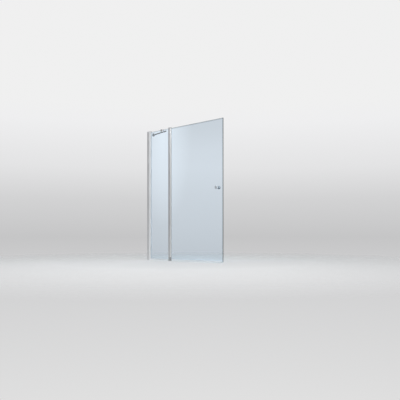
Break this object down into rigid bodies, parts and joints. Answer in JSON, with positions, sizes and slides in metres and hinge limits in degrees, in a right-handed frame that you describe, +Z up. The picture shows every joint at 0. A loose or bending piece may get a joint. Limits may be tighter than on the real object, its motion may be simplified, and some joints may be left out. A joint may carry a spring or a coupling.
{
  "type": "folding bath screen",
  "caption": "Glass bath screen for the rim of a bath: a fixed panel at the wall, an upright pivot post, a swing panel with a round knob, and a stabiliser rod to the wall.",
  "frame": {"origin": "on the wall face of the wall channel, in the screen's middle plane, at the height of the bath rim", "axes": "+X away from the wall along the screen, +Y into the bath, +Z up"},
  "size_m": [1.06, 0.1265, 1.4],
  "materials": {
    "aluminium_silver": "satin anodised, fine grain along the extrusion",
    "cap_grey": "satin grey lacquer on a die casting",
    "block_grey": "grey acetal, fine mould texture",
    "clear_glass": "toughened safety glass with polished, bevelled edges",
    "glazing_rubber": "matt grey extruded seal",
    "clear_strip": "clear soft extruded strip",
    "screw_steel": "stainless steel, turned",
    "knob_chrome": "polished chrome plate",
    "brace_chrome": "dark polished chrome plate",
    "white_plastic": "natural acetal"
  },
  "bodies": {
    "fixed_screen": {"wall_channel": "aluminium_silver", "adjusting_profile": "aluminium_silver", "wall_profile_cap": "cap_grey", "lock_screws": "screw_steel", "wall_glazing_seal": "glazing_rubber", "fixed_glass": "clear_glass", "fixed_bottom_seal": "clear_strip", "post_glazing_seal": "glazing_rubber", "post_profile": "aluminium_silver", "post_top_cap": "cap_grey", "post_cap_screws": "screw_steel", "post_foot": "cap_grey", "foot_screws": "screw_steel", "upper_pivot_pin": "screw_steel", "lower_pivot_pin": "screw_steel", "thrust_washer": "white_plastic", "brace_flange": "brace_chrome", "brace_swivel_pin": "brace_chrome", "brace_rod_eye": "brace_chrome", "brace_rod": "brace_chrome", "brace_rod_end": "brace_chrome", "glass_clamp": "brace_chrome", "clamp_liner": "white_plastic", "clamp_glass_screws": "screw_steel", "clamp_rod_screw": "screw_steel"},
    "swing_panel": {"hinge_profile": "aluminium_silver", "upper_pivot_block": "block_grey", "lower_pivot_block": "block_grey", "hinge_glazing_seal": "glazing_rubber", "swing_glass": "clear_glass", "swing_bottom_seal": "clear_strip", "knob_outer": "knob_chrome", "knob_inner": "knob_chrome", "knob_stud": "screw_steel", "knob_bushes": "white_plastic"}
  },
  "joints": [
    {"name": "panel_swing", "type": "hinge", "parent": "fixed_screen", "child": "swing_panel", "pos_m": [0.348, 0, 0], "axis": [0, 0, 1], "range_deg": [-90, 90]}
  ]
}
